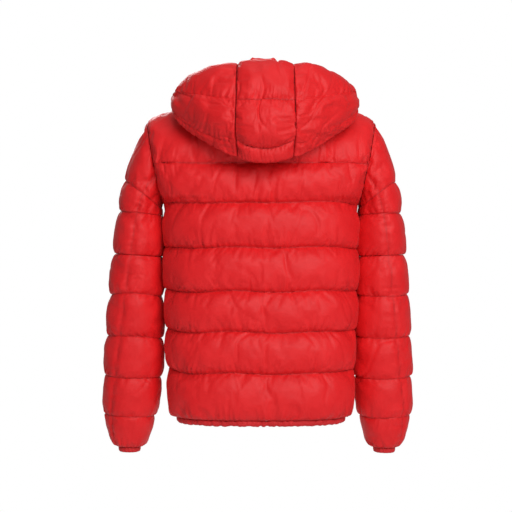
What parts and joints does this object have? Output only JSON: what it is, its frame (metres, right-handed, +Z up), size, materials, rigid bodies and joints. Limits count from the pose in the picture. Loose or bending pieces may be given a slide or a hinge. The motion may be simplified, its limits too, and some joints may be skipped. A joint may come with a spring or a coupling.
{
  "type": "ski jacket",
  "caption": "Hooded down ski jacket with quilted channels, stand collar, front zip, zipped pockets, sleeves that raise and bend, and a hood that lifts.",
  "frame": {"origin": "middle of the neck opening, level with the back of the neck", "axes": "+Z up, the wearer faces -Y, the wearer's left is +X"},
  "size_m": [0.6372, 0.3469, 0.8049],
  "materials": {
    "shell": "satin",
    "hood_shell": "satin",
    "lining": "matte",
    "binding": "matte",
    "zip_tape": "matte",
    "zip_metal": "satin"
  },
  "bodies": {
    "jacket_body": {"back_yoke": "shell", "back_channel_1": "shell", "back_channel_2": "shell", "back_channel_3": "shell", "back_channel_4": "shell", "back_channel_5": "shell", "back_channel_6": "shell", "front_left_yoke": "shell", "front_left_channel_1": "shell", "front_left_channel_2": "shell", "front_left_channel_3": "shell", "front_left_channel_4": "shell", "front_left_channel_5": "shell", "front_left_channel_6": "shell", "front_right_yoke": "shell", "front_right_channel_1": "shell", "front_right_channel_2": "shell", "front_right_channel_3": "shell", "front_right_channel_4": "shell", "front_right_channel_5": "shell", "front_right_channel_6": "shell", "hem_binding": "binding", "back_lining": "lining", "front_left_lining": "lining", "front_right_lining": "lining", "collar": "shell", "hang_loop": "binding", "front_zip_left": "zip_tape", "front_zip_right": "zip_tape", "pocket_zip_left": "zip_tape", "pocket_zip_right": "zip_tape", "hood_nape": "hood_shell"},
    "hood": {"hood_centre": "hood_shell", "hood_left": "hood_shell", "hood_right": "hood_shell", "hood_rim": "binding"},
    "sleeve_left_upper": {"sleeve_left_channel_1": "shell", "sleeve_left_channel_2": "shell", "sleeve_left_channel_3": "shell", "sleeve_left_channel_4": "shell"},
    "sleeve_left_lower": {"sleeve_left_channel_5": "shell", "sleeve_left_channel_6": "shell", "sleeve_left_channel_7": "shell", "sleeve_left_channel_8": "shell", "sleeve_left_cuff_binding": "binding"},
    "sleeve_right_upper": {"sleeve_right_channel_1": "shell", "sleeve_right_channel_2": "shell", "sleeve_right_channel_3": "shell", "sleeve_right_channel_4": "shell"},
    "sleeve_right_lower": {"sleeve_right_channel_5": "shell", "sleeve_right_channel_6": "shell", "sleeve_right_channel_7": "shell", "sleeve_right_channel_8": "shell", "sleeve_right_cuff_binding": "binding"},
    "front_slider": {"front_slider": "zip_metal"},
    "front_pull": {"front_pull": "zip_metal"},
    "pocket_slider_left": {"pocket_slider_left": "zip_metal"},
    "pocket_pull_left": {"pocket_pull_left": "zip_metal"},
    "pocket_slider_right": {"pocket_slider_right": "zip_metal"},
    "pocket_pull_right": {"pocket_pull_right": "zip_metal"}
  },
  "joints": [
    {"name": "hood_lift", "type": "hinge", "parent": "jacket_body", "child": "hood", "pos_m": [0, -0.028, 0], "axis": [1, 0, 0], "range_deg": [0, 90], "deforming": ["hood_nape"]},
    {"name": "shoulder_left", "type": "hinge", "parent": "jacket_body", "child": "sleeve_left_upper", "pos_m": [0.2155, 0, -0.1345], "axis": [0, -1, 0], "range_deg": [0, 60], "deforming": ["sleeve_left_channel_1"]},
    {"name": "elbow_left", "type": "hinge", "parent": "sleeve_left_upper", "child": "sleeve_left_lower", "pos_m": [0.2575, -0.014, -0.407], "axis": [-1, 0, 0], "range_deg": [0, 70], "deforming": ["sleeve_left_channel_4", "sleeve_left_channel_5"]},
    {"name": "shoulder_right", "type": "hinge", "parent": "jacket_body", "child": "sleeve_right_upper", "pos_m": [-0.2155, 0, -0.1345], "axis": [0, 1, 0], "range_deg": [0, 60], "deforming": ["sleeve_right_channel_1"]},
    {"name": "elbow_right", "type": "hinge", "parent": "sleeve_right_upper", "child": "sleeve_right_lower", "pos_m": [-0.2575, -0.014, -0.407], "axis": [-1, 0, 0], "range_deg": [0, 70], "deforming": ["sleeve_right_channel_4", "sleeve_right_channel_5"]},
    {"name": "front_zip_slide", "type": "slide", "parent": "jacket_body", "child": "front_slider", "axis": [0, 0.045, 0.999], "range_m": [-0.65, 0]},
    {"name": "front_pull_swing", "type": "hinge", "parent": "front_slider", "child": "front_pull", "pos_m": [0, -0.09952, 0.01073], "axis": [-1, 0, 0], "range_deg": [0, 150]},
    {"name": "pocket_zip_slide_left", "type": "slide", "parent": "jacket_body", "child": "pocket_slider_left", "axis": [-0.0681, -0.0317, 0.9972], "range_m": [-0.145, 0]},
    {"name": "pocket_pull_swing_left", "type": "hinge", "parent": "pocket_slider_left", "child": "pocket_pull_left", "pos_m": [0.14687, -0.09842, -0.39284], "axis": [-0.8211, -0.566, -0.074], "range_deg": [0, 150]},
    {"name": "pocket_zip_slide_right", "type": "slide", "parent": "jacket_body", "child": "pocket_slider_right", "axis": [0.0681, -0.0317, 0.9972], "range_m": [-0.145, 0]},
    {"name": "pocket_pull_swing_right", "type": "hinge", "parent": "pocket_slider_right", "child": "pocket_pull_right", "pos_m": [-0.14687, -0.09842, -0.39284], "axis": [-0.8211, 0.566, 0.074], "range_deg": [0, 150]}
  ]
}
